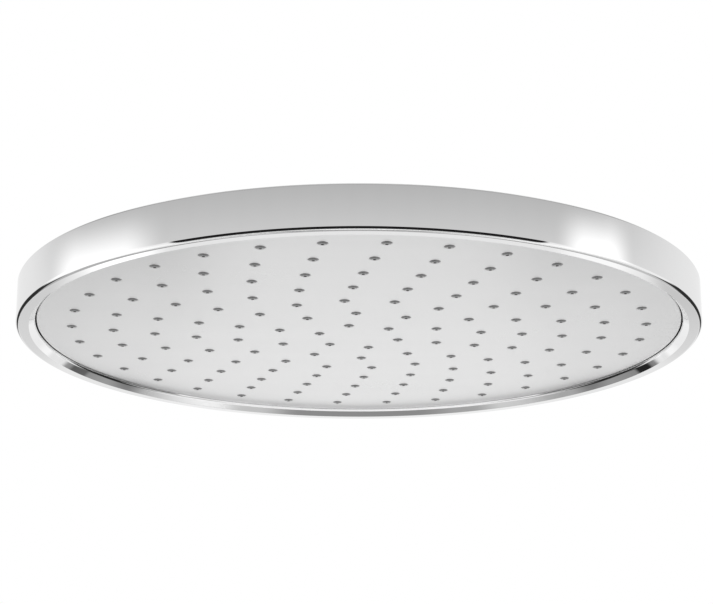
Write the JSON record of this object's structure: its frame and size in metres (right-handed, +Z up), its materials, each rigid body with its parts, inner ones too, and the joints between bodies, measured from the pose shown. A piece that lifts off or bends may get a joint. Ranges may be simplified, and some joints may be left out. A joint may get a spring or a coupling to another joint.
{
  "type": "rain shower head",
  "caption": "Round drum rain shower head with a crowned spray plate, rings of soft nozzles, an inner water chamber and a ball swivel with a threaded inlet.",
  "frame": {"origin": "centre of the inlet socket's mouth, where the water pipe screws in", "axes": "+Z up along the inlet, out of its mouth; the spray plate faces -Z and the picture is taken from -Y"},
  "size_m": [0.25, 0.25, 0.0545],
  "materials": {
    "chrome": "polished",
    "satin_plate": "satin",
    "brass": "turned",
    "steel": "plain",
    "grey_plastic": "moulded",
    "white_plastic": "moulded",
    "green_plastic": "moulded",
    "rubber": "matt",
    "silicone": "soft"
  },
  "bodies": {
    "inlet": {"swivel_ball": "chrome", "filter_screen": "white_plastic", "inlet_washer": "rubber", "flow_regulator": "green_plastic", "regulator_ring": "rubber"},
    "ball_cup": {"ball_cup": "white_plastic"},
    "friction_ring": {"friction_ring": "white_plastic"},
    "head": {"outer_shell": "chrome", "face_plate": "satin_plate", "nozzle_mat": "silicone", "chamber_seal": "rubber", "chamber_cover": "grey_plastic", "cover_screws": "steel", "inlet_stub": "brass", "stub_seal": "rubber", "shell_washer": "rubber", "lock_nut": "chrome", "swivel_collar": "chrome"}
  },
  "joints": [
    {"name": "tilt_x", "type": "hinge", "parent": "inlet", "child": "ball_cup", "pos_m": [0, 0, -0.02584], "axis": [1, 0, 0], "range_deg": [-10, 10]},
    {"name": "tilt_y", "type": "hinge", "parent": "ball_cup", "child": "friction_ring", "pos_m": [0, 0, -0.02584], "axis": [0, 1, 0], "range_deg": [-10, 10]},
    {"name": "spin_z", "type": "hinge", "parent": "friction_ring", "child": "head", "pos_m": [0, 0, -0.02584], "axis": [0, 0, 1], "continuous": true}
  ]
}
